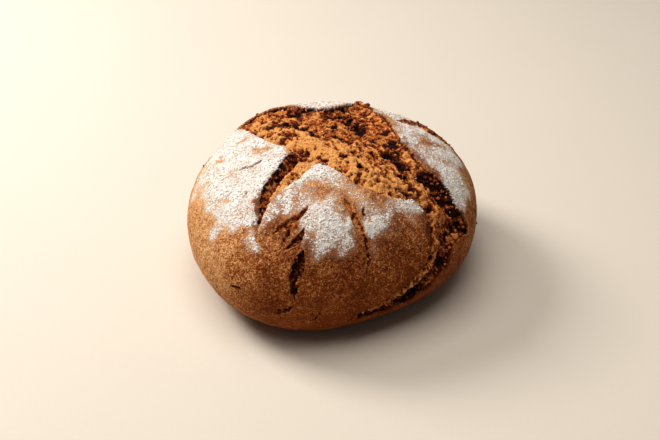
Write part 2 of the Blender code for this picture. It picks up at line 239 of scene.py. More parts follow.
# Flour: bearing, slope, radius, how thick
FLOUR = (
    (-178, 50, 17 * MM, 1.2), (-165, 50, 15 * MM, 1.3), (-154, 50, 13 * MM, 1.4), (-147, 57, 11 * MM, 1.3),
    (-169, 61, 14 * MM, 1.1), (-156, 62, 12 * MM, 1.2), (-143, 63, 9 * MM, 1.1), (170, 56, 15 * MM, 1.2),
    (158, 61, 13 * MM, 1.1), (178, 64, 13 * MM, 1.0), (-135, 66, 6 * MM, 1.0), (-130, 62, 5 * MM, 1.0),
    (-150, 38, 9 * MM, 1.2), (-160, 38, 9 * MM, 1.2), (-143, 47, 7 * MM, 1.2), (-137, 55, 5 * MM, 1.0),
    (148, 70, 11 * MM, 0.6), (-120.5, 69.5, 3 * MM, 1.6), (-140, 72, 7 * MM, 0.7), (-86, 70, 4 * MM, 0.3),
    (-139, 50, 5 * MM, 1.2), (-133, 57, 5 * MM, 1.0), (-128, 62, 4 * MM, 0.9), (-146, 43, 5 * MM, 1.2),
    (-124, 69, 5 * MM, 0.6), (-172, 73, 6 * MM, 0.5), (176, 38, 8 * MM, 0.6), (-169, 36, 7 * MM, 0.8),
    (-122, 58, 5 * MM, 0.7), (-119, 62, 5 * MM, 0.35), (-10, 71, 6 * MM, 1.0), (8, 68, 7 * MM, 1.0),
    (-100, 29, 9 * MM, 0.9), (-112, 34, 8 * MM, 0.8), (-118, 42, 6 * MM, 1.0), (-118, 50, 6 * MM, 1.0),
    (-112, 56, 6 * MM, 0.6), (-90, 33, 8 * MM, 0.35), (-80, 38, 7 * MM, 0.2), (-72, 44, 7 * MM, 0.2),
    (-104, 46, 8 * MM, 0.25), (-90, 47, 8 * MM, 0.2), (-68, 50, 7 * MM, 0.3),
    (-99, 53, 8 * MM, 1.0), (-90, 55, 8 * MM, 1.2), (-83, 59, 7 * MM, 1.2), (-92, 62, 8 * MM, 1.1),
    (-101, 60, 6 * MM, 0.8), (-84, 66, 6 * MM, 0.7), (-95, 67, 6 * MM, 0.4), (-70, 59, 5 * MM, 1.4),
    (-65, 57, 6 * MM, 1.3), (-58, 54, 5 * MM, 0.4), (-52, 56, 5 * MM, 0.5), (-46, 58, 5.5 * MM, 2.4),
    (-50, 64, 6 * MM, 0.2), (-60, 63, 6 * MM, 0.2), (-40, 66, 5 * MM, 0.3), (-70, 68, 7 * MM, 0.15),
    (-15, 67, 7 * MM, 1.6), (-19, 70, 5 * MM, 1.2), (-6, 64, 9 * MM, 1.4), (6, 63, 10 * MM, 1.4),
    (20, 60, 11 * MM, 1.3), (35, 56, 10 * MM, 1.1), (48, 54, 9 * MM, 1.1), (-6, 54, 9 * MM, 0.8),
    (8, 50, 9 * MM, 0.9), (22, 48, 9 * MM, 1.0), (36, 48, 8 * MM, 0.9), (94, 47, 11 * MM, 1.4),
    (84, 54, 11 * MM, 1.3), (104, 54, 10 * MM, 1.2), (70, 62, 12 * MM, 1.0), (60, 60, 10 * MM, 1.0),
    (112, 68, 12 * MM, 0.7), (94, 66, 12 * MM, 0.9), (130, 74, 10 * MM, 0.4), (32, 68, 10 * MM, 0.6),
)  # fmt: skip
FLOUR_GAPS = (  # bearing, slope, radius, share of the flour that is missing in the middle
    (-172, 38, 7 * MM, 0.97), (-178, 43, 7 * MM, 0.96), (178, 60, 10 * MM, 0.93), (-168, 67, 7 * MM, 0.8),
    (-97, 43, 7 * MM, 0.6), (12, 56, 9 * MM, 0.85), (-160, 58, 8 * MM, 0.88), (-176, 52, 7 * MM, 0.85),
    (167, 52, 7 * MM, 0.9), (-150, 44, 5 * MM, 0.75), (-164, 47, 6 * MM, 0.7), (0, 60, 6 * MM, 0.7),
    (-148, 61, 6 * MM, 0.88), (-153, 53, 5 * MM, 0.7), (-57, 58, 5 * MM, 0.6), (-88, 51, 4 * MM, 0.5),
    (28, 62, 7 * MM, 0.7), (128, 62, 6 * MM, 0.8), (140, 63, 6 * MM, 0.7), (116, 52, 5 * MM, 0.7),
    (-60, 62, 6 * MM, 0.5),
)  # fmt: skip
FLOUR_HEAP = 1.9  # more makes every patch thicker and wider
FLOUR_WANDER = ((22 * MM, 7 * MM), (9 * MM, 4 * MM), (4 * MM, 2.5 * MM))
FLOUR_THICKNESS = 0.25 * MM
FLOUR_SLOPE = 2  # how fast the thickness grows with the amount, once there is enough for a layer
FLOUR_LAYER = 0.8
VEIL = 0.16  # thin flour all over the top
VEIL_END = 77  # the slope where it ends
VEIL_FADE = 30

# Places in the tears that are darker, partly toasted and partly painted shade in holes, trenches and under
# the lips: bearing, slope, radius, how dark
TOAST_AND_SHADE_SPOTS = (
    (-143, 28, 9 * MM, 1.0), (-150, 32, 7 * MM, 1.2), (-144, 37, 7 * MM, 1.25), (-140, 41, 6 * MM, 1.2),
    (-138, 46, 6 * MM, 1.1), (-135, 51, 6 * MM, 1.1), (-131, 55, 6 * MM, 1.1), (-128, 59, 5 * MM, 1.2),
    (-125, 62, 5 * MM, 1.2), (74, 38, 9 * MM, 1.2), (60, 36, 9 * MM, 1.5), (48, 32, 8 * MM, 1.4),
    (28, 20, 7 * MM, 1.1), (146, 12, 6 * MM, 1.0), (138, 34, 6 * MM, 1.1), (127, 38, 6 * MM, 0.9),
    (74, 48, 9 * MM, 0.7), (64, 47, 8 * MM, 0.5), (119, 51, 5 * MM, 1.0), (92, 37, 8 * MM, 0.8),
    (-12, 38, 9.5 * MM, 1.6), (-20, 45, 9.5 * MM, 1.6), (-19, 56, 7 * MM, 1.3), (-22, 67, 9 * MM, 1.4),
    (-40, 86, 8 * MM, 1.2), (-49, 92, 9 * MM, 0.6), (-57, 95, 10 * MM, 0.5), (-68, 98, 12 * MM, 0.45),
    (-41, 64, 6 * MM, 0.7), (-43, 70, 7 * MM, 0.8), (-44, 76, 7 * MM, 0.8), (-34, 63, 9 * MM, 0.6),
    (-38, 71, 9 * MM, 0.6), (-40, 77, 8 * MM, 0.7), (-20, 61, 7 * MM, 1.4), (-24, 73, 7 * MM, 1.4),
    (-25, 79, 6 * MM, 1.1), (138, 50, 12 * MM, 0.35), (125, 50, 12 * MM, 0.4), (108, 40, 10 * MM, 0.45),
    (149, 56, 9 * MM, 0.5), (141, 60, 9 * MM, 0.5), (132, 60, 9 * MM, 0.5), (124, 55, 9 * MM, 0.5),
    (116, 48, 9 * MM, 0.5), (106, 40, 9 * MM, 0.5), (95, 36, 8 * MM, 0.5), (152, 41, 6 * MM, 1.2),
    (146, 38, 6 * MM, 1.3), (140, 38, 6 * MM, 1.3), (135, 38, 6 * MM, 1.3), (132, 33, 6 * MM, 1.3),
    (132, 26, 6 * MM, 1.3), (132, 20, 6 * MM, 1.3), (135, 14, 5 * MM, 1.1),
    (-33, 47, 4 * MM, 1.0), (-42, 55, 4 * MM, 1.0), (-68, 19, 4 * MM, 0.7), (-41, 19, 4 * MM, 0.7),
    (-56, 31, 4 * MM, 0.6), (-140, 21, 6 * MM, 0.9), (8, 44, 9 * MM, 0.7), (-8, 50, 7 * MM, 0.7),
)  # fmt: skip
TOAST_AND_SHADE_PLATEAU = 1.5  # more makes each place darker out to its edge
TOAST_AND_SHADE_AT_BACK = 0.42  # toasting and painted shade in the half of the big tear near its back lip
TOAST_AND_SHADE_BACK_START = 0.3
TOAST_AND_SHADE_BACK_FADE = 0.35
TOAST_AND_SHADE_LOW = 0.44  # toasting and painted shade in the big tear, low down on the loaf
TOAST_AND_SHADE_LOW_START = 58
TOAST_AND_SHADE_LOW_FADE = 14
SHADE_AND_TOAST_UNDER_LIP = 1.3  # painted shade right under the back lip, with some toasting
SHADE_AND_TOAST_UNDER_LIP_WIDTH = 2.5 * MM
CRACK_TOAST_AND_SHADE_EDGE = 0.4  # of a crack's darkness, at its lip
CRACK_TOAST_AND_SHADE_FADE = 2 * MM
SHADE_IN_TRENCH = 0.8  # painted shade in a deep trench, darker the deeper it is
TOAST_AND_SHADE_MOST = 1.6

# Where the masks that the material reads begin and reach their full strength
CRUMB_EDGE = 0.8 * MM
HEIGHT_REACH = 1.5 * MM
PITS_FULL = 2 * MM
HOLLOW_FULL = 9 * MM
LEFT_START = 20 * MM  # painted light: the crust is made paler on the left side, a little on the right, and on top, standing in for light falling there
LEFT_FADE = 80 * MM
RIGHT_START = 65 * MM
RIGHT_FADE = 35 * MM
RIGHT_PAINTED_LIGHT = 0.6
TOP_END = 70
TOP_FADE = 30
TOP_PAINTED_LIGHT = 0.35
# Low on the loaf the crust is darker and redder: partly its own colour, partly painted warm bounce light
# from the floor; less so on the left
LOW_START = 65
LOW_FADE = 35
LOW_LESS_AT_LEFT = 0.9

# Colours, as linear light
CRUST_COLOURS = (
    (0.0, (0.74, 0.42, 0.19)),
    (0.35, (0.48, 0.175, 0.045)),
    (0.65, (0.25, 0.060, 0.009)),
    (1.0, (0.09, 0.017, 0.003)),
)
CRUST_LOW_AND_BOUNCE = (0.33, 0.074, 0.006)
CRUMB_COLOURS = (
    (0.0, (0.03, 0.008, 0.005)),
    (0.25, (0.13, 0.024, 0.009)),
    (0.5, (0.33, 0.078, 0.021)),
    (0.75, (0.58, 0.19, 0.042)),
    (1.0, (0.78, 0.37, 0.12)),
)
FLOUR_WHITE = (0.85, 0.80, 0.74)
FLOUR_THIN = (0.70, 0.54, 0.43)
FLOUR_CREAM = (0.74, 0.62, 0.52)
VEIL_OPACITY = 0.52  # of a thin layer of flour
FLOOR_COLOUR = (0.66, 0.58, 0.48)
FLOOR_CLOUDS = 0.97  # how bright its darker clouds are, over the rest
FLOOR_HALF = 4

# The camera and the light, at the photo's angles
CAMERA_PLACE = (-0.0021, -0.6352, 0.517)
CAMERA_TILT = 52.75
CAMERA_LENS = 58.8
CAMERA_SENSOR = 36
AIM = Vector((0, 0, 0.05))
KEY_PLACE = (-0.95, 0.5, 0.95)
KEY_SIZE = 0.5
KEY_WATTS = 16
TOP_PLACE = (-0.15, -0.1, 1.4)
TOP_SIZE = 1.2
TOP_WATTS = 14
SKY_COLOUR = (1.0, 1.0, 1.0)
SKY_STRENGTH = 0.12

PATH_STEPS = 5  # straight pieces of a smooth path between two waypoints

# Scattered bits: how many, smallest and largest radius
CLUMP_COUNT = 2600
CLUMP_SIZES = (0.25 * MM, 0.75 * MM)
CLUMP_FLATNESS = 0.6  # height over width
CLUMP_SUBDIVISIONS = 1
CLUMPS_START = 0.5  # flour thinner than this has none
CLUMPS_IN_CRUMB = 0.005  # how thickly they lie there, over how thickly on floured crust
BIT_COUNT = 700
BIT_SIZES = (0.4 * MM, 1.3 * MM)
BIT_FLATNESS = 0.9
BIT_SUBDIVISIONS = 2
BITS_ON_CRUST = 0.03  # how thickly they lie next to a tear, over how thickly in the crumb
BITS_REACH = 6 * MM  # how far from the tears they lie on the crust
BIT_SHAPES = 6
BIT_LUMPS = 0.5
BIT_LUMP_SCALE = 1.4
BIT_SHIFT = 9  # how far apart in the noise the shapes are taken
BIT_STRETCH = 0.5
SMALL_SHARE = 2  # 1 draws all sizes alike, more draws more of the small ones
SUNK = 0.3  # share of its radius that lies in the loaf


def smooth_step(x):
    x = np.clip(x, 0, 1)
    return x * x * (3 - 2 * x)


def on_chart(waypoints):
    """(bearing, slope) places laid flat: a place is its slope in degrees from the middle, at its bearing."""
    bearing, slope = np.radians([w[0] for w in waypoints]), np.array([w[1] for w in waypoints], float)
    return np.column_stack((slope * np.cos(bearing), slope * np.sin(bearing)))


def chart_of(directions):
    """Where each direction from the core lies on that flat chart."""
    bearing = np.arctan2(directions[:, 1], directions[:, 0])
    slope = np.degrees(np.arccos(np.clip(directions[:, 2], -1, 1)))
    return np.column_stack((slope * np.cos(bearing), slope * np.sin(bearing)))


def smooth_path(waypoints):
    """A Catmull-Rom curve through the waypoints, as points on the chart."""
    knots = on_chart(waypoints)  # also takes waypoints that hold more than their place
    knots = np.vstack((2 * knots[0] - knots[1], knots, 2 * knots[-1] - knots[-2]))
    t = (np.arange(PATH_STEPS) / PATH_STEPS)[:, None]
    spans = []
    for a, b, c, d in zip(knots, knots[1:], knots[2:], knots[3:]):
        spans.append(
            0.5 * (2 * b + (c - a) * t + (2 * a - 5 * b + 4 * c - d) * t**2 + (3 * b - a - 3 * c + d) * t**3)
        )
    return np.vstack(spans + [knots[-2:-1]])


def distance_to(path, spots):
    """How far each spot is from the path, and which of the path's knots is nearest, with fractions."""
    nearest = np.full(len(spots), np.inf)
    knot = np.zeros(len(spots))
    for step, (start, end) in enumerate(zip(path, path[1:])):
        piece = end - start
        share = np.clip((spots - start) @ piece / max(piece @ piece, 1e-12), 0, 1)
        away = np.linalg.norm(spots - start - share[:, None] * piece, axis=1)
        closer = away < nearest
        nearest[closer] = away[closer]
        knot[closer] = (step + share[closer]) / PATH_STEPS
    return nearest, knot


def is_inside(outline, spots):
    inside = np.zeros(len(spots), bool)
    for (x0, y0), (x1, y1) in zip(outline, np.roll(outline, -1, axis=0)):
        crosses = (y0 > spots[:, 1]) != (y1 > spots[:, 1])
        height = y1 - y0 if y1 != y0 else 1e-9
        inside ^= crosses & (spots[:, 0] < x0 + (x1 - x0) * (spots[:, 1] - y0) / height)
    return inside


def depth_inside(outline, spots):
    """How far each spot is inside the closed outline, negative outside."""
    away, _ = distance_to(np.vstack((outline, outline[:1])), spots)
    return np.where(is_inside(outline, spots), away, -away)


def lumps(points, sizes, seed):
    """Soft unevenness at each point: the sum of one noise for each (size, height)."""
    total = np.zeros(len(points))
    for i, (size, height) in enumerate(sizes):
        shift = Vector((seed, SIZE_SHIFT * i, SEED_SHIFT * seed))
        total += [height * noise.noise(Vector(p) / size + shift) for p in points]
    return total


def pores(points, seed):
    """How deep each point lies in a pore, in metres. Pores are the peaks of a noise, so no two are alike."""
    deepest = np.zeros(len(points))
    for i, (size, level, depth) in enumerate(PORES):
        shift = Vector((seed, PORE_SHIFT * i, 0))
        found = []
        for p in points:
            bent = Vector(p) / size + PORE_BEND * noise.noise_vector(Vector(p) / (PORE_BEND_SIZE * size))
            patch = PORE_PATCHINESS * noise.noise(Vector(p) / PORE_PATCHES + shift)
            found.append(noise.noise(bent + shift) + patch)
        deepest = np.maximum(deepest, depth * smooth_step((np.array(found) - level) / PORE_EDGE))
    return deepest


def flakes(points, seed):
    """Crisp ridges with hollows between them, from about -0.5 to 0.5."""
    shift = Vector((seed, 0, 0))
    found = []
    for p in points:
        spot = Vector(p) / FLAKE_SIZE + shift
        spot += FLAKE_WARP / FLAKE_SIZE * noise.noise_vector(Vector(p) / FLAKE_WARP_SIZE)
        found.append(noise.ridged_multi_fractal(spot, *FLAKE_NOISE))
    return np.array(found) / 2 - 0.5


def along_grain(points):
    """The points laid straight and squeezed along the big tear, so that noise makes long strands there."""
    away = points[:, :2] - np.array(GRAIN_CENTRE)
    along = GRAIN_RADIUS * np.arctan2(away[:, 1], away[:, 0]) / GRAIN_STRETCH
    return np.column_stack((np.hypot(away[:, 0], away[:, 1]), along, points[:, 2]))


def smooth_form(directions):
    """How far the smooth loaf reaches from the core in each direction."""
    bearing = np.arctan2(directions[:, 1], directions[:, 0])
    belly = np.full(len(directions), MEAN_RADIUS)
    for lobes, size, crest in OUTLINE_WAVES:
        belly += size * np.cos(lobes * (bearing - math.radians(crest)))
    upward = directions[:, 2] >= 0
    power = np.where(upward, DOME_POWER, TUCK_POWER)
    reach_up = np.where(upward, LOAF_HEIGHT - BELLY_HEIGHT, TUCK_DEPTH)
    level = np.hypot(directions[:, 0], directions[:, 1]) / belly
    return (level**power + (np.abs(directions[:, 2]) / reach_up) ** power) ** (-1 / power)


class Surface:
    """The loaf's surface in some directions from the core, and what the tears and the flour do to it."""

    def __init__(self, directions):
        self.directions = directions
        self.reach = smooth_form(directions)
        self.points = directions * self.reach[:, None]
        self.spots = chart_of(directions)
        self.scale = np.radians(self.reach)  # length on the loaf of a degree on the chart
        self.measure_tears()

    def path_distance(self, waypoints):
        away, knot = distance_to(smooth_path(waypoints), self.spots)
        return away * self.scale, knot

    def distance_from(self, bearing, slope):
        return np.linalg.norm(self.spots - on_chart([(bearing, slope)]), axis=1) * self.scale

    def measure_tears(self):
        """How deep each point is inside the rip, the branch, a crack and any of them, negative outside."""
        front, back = smooth_path(RIP_FRONT_LIP), smooth_path(RIP_BACK_LIP)
        ragged = lumps(self.points, LIP_RAGGEDNESS, seed=1)
        self.to_front = distance_to(front, self.spots)[0] * self.scale
        self.to_back = distance_to(back, self.spots)[0] * self.scale
        self.rip = depth_inside(np.vstack((front, back[1:-1])), self.spots) * self.scale + ragged
        self.branch = depth_inside(smooth_path(BRANCH_OUTLINE), self.spots) * self.scale + ragged
        self.cracks = []
        for _, _, waypoints in CRACKS:
            away, knot = self.path_distance(waypoints)
            half_width = MM * np.interp(knot, range(len(waypoints)), [w[2] for w in waypoints])
            raggedness = CRACK_RAGGEDNESS * ragged * np.minimum(half_width / CRACK_FULLY_RAGGED, 1)
            self.cracks.append(half_width - away + raggedness)
        self.big_tears = np.maximum(self.rip, self.branch)
        self.torn = np.maximum.reduce([self.big_tears, *self.cracks])
        self.share = self.to_front / np.maximum(self.to_front + self.to_back, 1e-9)

    def rip_floor(self):
        """Height of the torn crumb in the rip, with ledges in the half near the back lip."""
        floor = np.interp(self.share, RIP_SHARES, RIP_HEIGHTS)
        wobble = lumps(self.points, ((LEDGE_WOBBLE, 1.0),), seed=2)
        ledge = (self.share * LEDGE_COUNT + wobble) % 1.0
        near_back = smooth_step((self.share - LEDGES_START) / LEDGES_FADE_IN)
        return floor + LEDGE_HEIGHT * (ledge - 0.5) * near_back

    def trench_depth(self):
        deepest = np.zeros(len(self.points))
        for waypoints in TRENCHES:
            away, knot = self.path_distance(waypoints)
            knots = range(len(waypoints))
            half_width = MM * np.interp(knot, knots, [w[2] for w in waypoints])
            depth = MM * np.interp(knot, knots, [w[3] for w in waypoints])
            deepest = np.maximum(deepest, depth * smooth_step(TRENCH_FLATNESS * (1 - away / half_width)))
        return deepest

    def holes_and_knobs(self):
        total = np.zeros(len(self.points))
        for bearing, slope, radius, height in HOLES_AND_KNOBS:
            total += height * smooth_step(KNOB_FLATNESS * (1 - self.distance_from(bearing, slope) / radius))
        return total

    def hairlines(self):
        """How deep each point lies in a hairline crack, from 0 to 1."""
        deepest = np.zeros(len(self.points))
        for waypoints in HAIRLINES:
            away, knot = self.path_distance(waypoints)
            to_end = len(waypoints) - 1 - knot
            ends = smooth_step(HAIRLINE_ENDS * knot) * smooth_step(HAIRLINE_ENDS * to_end)
            across = smooth_step(HAIRLINE_FLATNESS * (1 - away / HAIRLINE_WIDTH))
            deepest = np.maximum(deepest, ends * across)
        return deepest

    def relief(self):
        """How far each point lies outside the smooth form."""
        crumb_noise = lumps(along_grain(self.points), CRUMB_LUMPS, seed=3)
        rip = self.rip_floor() + crumb_noise + self.holes_and_knobs()
        branch = BRANCH_HEIGHT + BRANCH_ROUGHNESS * crumb_noise
        torn = np.where(self.rip > self.branch, rip, branch) - self.trench_depth()
        torn = torn * smooth_step(self.big_tears / (WALL_WIDTH + WALL_SLANT * np.abs(torn)))
        for inside, (depth, _, _) in zip(self.cracks, CRACKS):
            further = np.minimum if depth > 0 else np.maximum
            torn = np.where(inside > 0, further(torn, -depth * smooth_step(inside / CRACK_WALL)), torn)
        lip_height = np.where(self.to_back < self.to_front, BACK_LIP_RISE, FRONT_LIP_RISE)
        lip = lip_height * smooth_step(1 + self.big_tears / LIP_FADE)
        return lumps(self.points, CRUST_LUMPS, seed=4) + lip * (self.torn < 0) + torn * (self.torn > 0)

    def flour(self):
        """How thickly each point is floured, from 0 to 1."""
        wander = np.column_stack([lumps(self.points, FLOUR_WANDER, seed) for seed in (5, 6)])
        spots = self.spots + wander / self.scale[:, None]
        amount = np.zeros(len(spots))
        gaps = np.ones(len(spots))
        for blobs in (FLOUR, FLOUR_GAPS):
            for bearing, slope, radius, thickness in blobs:
                away = np.linalg.norm(spots - on_chart([(bearing, slope)]), axis=1) * self.scale
                share = thickness * np.exp(-((away / radius) ** 2))
                if blobs is FLOUR:
                    amount += FLOUR_HEAP * share
                else:
                    gaps *= 1 - share
        amount *= gaps
        slope = np.linalg.norm(self.spots, axis=1)
        veil = VEIL * smooth_step((VEIL_END - slope) / VEIL_FADE)
        return np.maximum(1 - np.exp(-np.maximum(amount, 0)), veil)

    def toast_and_shade(self):
        """How dark each point of the torn crumb is, from toasting and from painted shade in its holes,
        trenches, cracks and under the back lip, from 0 up to its cap.
        """
        slope = np.linalg.norm(self.spots, axis=1)
        at_back = TOAST_AND_SHADE_AT_BACK * smooth_step((self.share - TOAST_AND_SHADE_BACK_START) / TOAST_AND_SHADE_BACK_FADE)
        low = TOAST_AND_SHADE_LOW * smooth_step((slope - TOAST_AND_SHADE_LOW_START) / TOAST_AND_SHADE_LOW_FADE)
        at_lip = SHADE_AND_TOAST_UNDER_LIP * smooth_step(1 - self.to_back / SHADE_AND_TOAST_UNDER_LIP_WIDTH)
        amount = np.maximum.reduce([at_back, low, at_lip]) * (self.rip > 0)
        for bearing, slope, radius, darkness in TOAST_AND_SHADE_SPOTS:
            near = smooth_step(TOAST_AND_SHADE_PLATEAU * (1 - self.distance_from(bearing, slope) / radius))
            amount = np.maximum(amount, darkness * near)
        for inside, (_, darkness, _) in zip(self.cracks, CRACKS):
            inner = (inside > 0) * smooth_step(CRACK_TOAST_AND_SHADE_EDGE + inside / CRACK_TOAST_AND_SHADE_FADE)
            amount = np.maximum(amount, darkness * inner)
        deep = SHADE_IN_TRENCH * smooth_step(self.trench_depth() / HOLLOW_FULL)
        return np.clip(np.maximum(amount, deep), 0, TOAST_AND_SHADE_MOST)


def directions_of(ball):
    return np.array([vert.co.normalized() for vert in ball.verts])


def refine(ball):
    """Halves the triangle sides that are longer than the spacing wanted there."""
    surface = Surface(directions_of(ball))
    places = surface.directions * (surface.reach + surface.relief())[:, None]
    slope = np.linalg.norm(surface.spots, axis=1)
    wanted = np.where(slope > UNDERSIDE_SLOPE, UNDERSIDE_SPACING, CRUST_SPACING)
    wanted = np.where(surface.torn > 0, CRUMB_SPACING, wanted)
    wanted = np.where((np.abs(surface.torn) < LIP_BAND) | (surface.hairlines() > 0), LIP_SPACING, wanted)
    ball.verts.index_update()
    long_edges = []
    for edge in ball.edges:
        a, b = (vert.index for vert in edge.verts)
        level, steep = (np.linalg.norm(spots[a] - spots[b]) for spots in (surface.points, places))
        length = min(max(level, STEEP_SHARE * steep), STEEP_MOST * level)
        if length > min(wanted[a], wanted[b]) * math.sqrt(2):
            long_edges.append(edge)
    bmesh.ops.subdivide_edges(ball, edges=long_edges, cuts=1)
    bmesh.ops.triangulate(ball, faces=ball.faces)


def edge_gradient(values, places, edges):
    """The uphill direction of the values at each corner, from its neighbours along the mesh's edges."""
    a, b = edges.T
    step = places[b] - places[a]
    pull = step * ((values[b] - values[a]) / np.maximum((step**2).sum(1), 1e-12))[:, None]
    total = np.zeros_like(places)
    np.add.at(total, a, pull)
    np.add.at(total, b, pull)
    return total / np.maximum(np.linalg.norm(total, axis=1), 1e-9)[:, None]


def corner_normals(places, triangles):
    """The mean direction that the triangles round each corner face."""
    a, b, c = (places[triangles[:, i]] for i in range(3))
    facing = np.cross(b - a, c - a)
    total = np.zeros_like(places)
    for i in range(3):
        np.add.at(total, triangles[:, i], facing)
    return total / np.maximum(np.linalg.norm(total, axis=1), 1e-12)[:, None]


def shape_loaf(surface, edges, triangles):
    """The corners' places, their places along the strands, and the masks that the material reads."""
    relief = surface.relief()
    places = surface.directions * (surface.reach + relief)[:, None]
    inward = edge_gradient(surface.big_tears, places, edges)
    reach_over = smooth_step(1 - np.abs(surface.big_tears) / OVERHANG_BAND)
    reach_over *= surface.big_tears < OVERHANG_END
    places += inward * (LIP_OVERHANG * reach_over)[:, None]

    crumb = smooth_step(0.5 + surface.torn / CRUMB_EDGE)
    flour = surface.flour()
    deep = smooth_step(surface.torn / FLAKES_START)
    strands = along_grain(places)
    pits = pores(strands, seed=8) * crumb
    ridges = flakes(strands, seed=7)
    coarse = np.where(surface.big_tears > 0, 1, CRACK_COARSENESS)
    coarse = coarse * (1 - KNOB_SMOOTHNESS * smooth_step(surface.holes_and_knobs() / KNOB_FULL))
    fine = (FLAKE_HEIGHT * ridges + lumps(places, FINE_CRUMB, seed=9) - pits) * deep * crumb * coarse
    fine += lumps(places, FINE_CRUST, seed=10) * (1 - crumb)
    hairlines = surface.hairlines() * (1 - crumb)
    fine += FLOUR_THICKNESS * smooth_step(FLOUR_SLOPE * flour - FLOUR_LAYER) * (1 - crumb)
    fine -= HAIRLINE_DEPTH * hairlines
    normals = corner_normals(places, triangles)
    places += normals * fine[:, None]
    slope = np.linalg.norm(surface.spots, axis=1)
    # Painted light: the crust is paler on the left side, a little on the right, and on top
    left = smooth_step((-places[:, 0] - LEFT_START) / LEFT_FADE)
    right = smooth_step((places[:, 0] - RIGHT_START) / RIGHT_FADE)
    top = smooth_step((TOP_END - slope) / TOP_FADE)
    masks = {
        "crumb": crumb,
        "flour": flour,
        "toast_and_shade": surface.toast_and_shade(),
        # height, pits and hollow also make painted light and shade in the crumb's colour: lighter ridges,
        # darker pores and hollows
        "height": np.clip(0.5 + 0.5 * fine / HEIGHT_REACH, 0, 1),
        "pits": np.clip(pits / PITS_FULL, 0, 1),
        "hollow": np.clip(-(relief + fine) / HOLLOW_FULL, 0, 1),
        "hairline": hairlines,
        "low": smooth_step((slope - LOW_START) / LOW_FADE) * (1 - LOW_LESS_AT_LEFT * left),
        "painted_light": np.maximum.reduce([left, RIGHT_PAINTED_LIGHT * right, TOP_PAINTED_LIGHT * top]),
    }
    return places, strands, masks


def build_loaf(material):
    """The loaf, its corners and triangles, and how thickly clumps and bits lie at each corner."""
    ball = bmesh.new()
    bmesh.ops.create_icosphere(ball, subdivisions=BALL_SUBDIVISIONS, radius=1)
    for _ in range(PASSES):
        refine(ball)
    surface = Surface(directions_of(ball))
    ball.verts.index_update()
    edges = np.array([[vert.index for vert in edge.verts] for edge in ball.edges])
    triangles = np.array([[vert.index for vert in face.verts] for face in ball.faces])
    places, strands, masks = shape_loaf(surface, edges, triangles)
    places[:, 2] = np.maximum(places[:, 2] + BELLY_HEIGHT, 0)
    places[:, :2] -= (places[:, :2].max(axis=0) + places[:, :2].min(axis=0)) / 2
    mesh = bpy.data.meshes.new("rye_loaf_crust")
    ball.to_mesh(mesh)
    ball.free()
    mesh.vertices.foreach_set("co", places.ravel())
    for name, values in masks.items():
        mesh.attributes.new(name, "FLOAT", "POINT").data.foreach_set("value", values)
    strand_places = mesh.attributes.new("strand_place", "FLOAT_VECTOR", "POINT")
    strand_places.data.foreach_set("vector", strands.ravel())
    mesh.polygons.foreach_set("use_smooth", [True] * len(mesh.polygons))
    mesh.materials.append(material)
    mesh.update()
    loaf = bpy.data.objects.new("loaf_crust", mesh)
    bpy.context.scene.collection.objects.link(loaf)
    near_tears = np.exp(-((np.minimum(surface.big_tears, 0) / BITS_REACH) ** 2))
    crumb, flour = masks["crumb"], masks["flour"]
    floured = smooth_step((flour - CLUMPS_START) / (1 - CLUMPS_START))
    clumps_wanted = floured * (1 - crumb) + CLUMPS_IN_CRUMB * crumb
    bits_wanted = crumb + BITS_ON_CRUST * near_tears * (1 - crumb)
    return loaf, (places, triangles), clumps_wanted, bits_wanted


def lumpy_balls(subdivisions, seed):
    """A few uneven balls of radius about 1, as (corners, triangles)."""
    shapes = []
    for i in range(BIT_SHAPES):
        ball = bmesh.new()
        bmesh.ops.create_icosphere(ball, subdivisions=subdivisions, radius=1)
        shift = BIT_SHIFT * Vector((seed, i, 0))
        corners = [
            vert.co * (1 + BIT_LUMPS * noise.noise(BIT_LUMP_SCALE * vert.co + shift)) for vert in ball.verts
        ]
        triangles = [[vert.index for vert in face.verts] for face in ball.faces]
        shapes.append((np.array(corners), np.array(triangles)))
        ball.free()
    return shapes


def scatter(name, material, loaf_mesh, wanted, count, sizes, flatness, subdivisions, seed):
    """One piece of many small bits that lie on the loaf, more of them where more are wanted."""
    places, triangles = loaf_mesh
    draw = np.random.default_rng(seed)
    a, b, c = (places[triangles[:, i]] for i in range(3))
    facing = np.cross(b - a, c - a)
    area = np.linalg.norm(facing, axis=1)
    above_tuck = a[:, 2] > BELLY_HEIGHT / 2
    weight = area * wanted[triangles].mean(axis=1) * above_tuck
    chosen = draw.choice(len(triangles), count, p=weight / weight.sum())
    along = np.sort(draw.random((count, 2)), axis=1)
    shapes = lumpy_balls(subdivisions, seed)
    corners, faces, offset = [], [], 0
    for i, t in enumerate(chosen):
        low, high = along[i]
        spot = low * a[t] + (high - low) * b[t] + (1 - high) * c[t]
        up = Vector(facing[t] / area[t])
        radius = sizes[0] + (sizes[1] - sizes[0]) * draw.random() ** SMALL_SHARE
        turn = np.array(up.to_track_quat("Z", "Y").to_matrix())
        spin = draw.random() * math.tau
        cos, sin = math.cos(spin), math.sin(spin)
        spun = np.array([[cos, -sin, 0], [sin, cos, 0], [0, 0, 1]])
        stretch = np.array([1 + BIT_STRETCH * draw.random(), 1, flatness])
        shape, shape_faces = shapes[i % BIT_SHAPES]
        placed = (shape * stretch * radius) @ spun.T @ turn.T
        corners.append(placed + spot + np.array(up) * radius * flatness * (1 - SUNK))
        faces.append(shape_faces + offset)
        offset += len(shape)
    mesh = bpy.data.meshes.new(name)
    mesh.from_pydata(np.vstack(corners).tolist(), [], np.vstack(faces).tolist())
    mesh.polygons.foreach_set("use_smooth", [True] * len(mesh.polygons))
    mesh.materials.append(material)
    bits = bpy.data.objects.new(name, mesh)
    bpy.context.scene.collection.objects.link(bits)
    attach(bits, "root")
    return bits


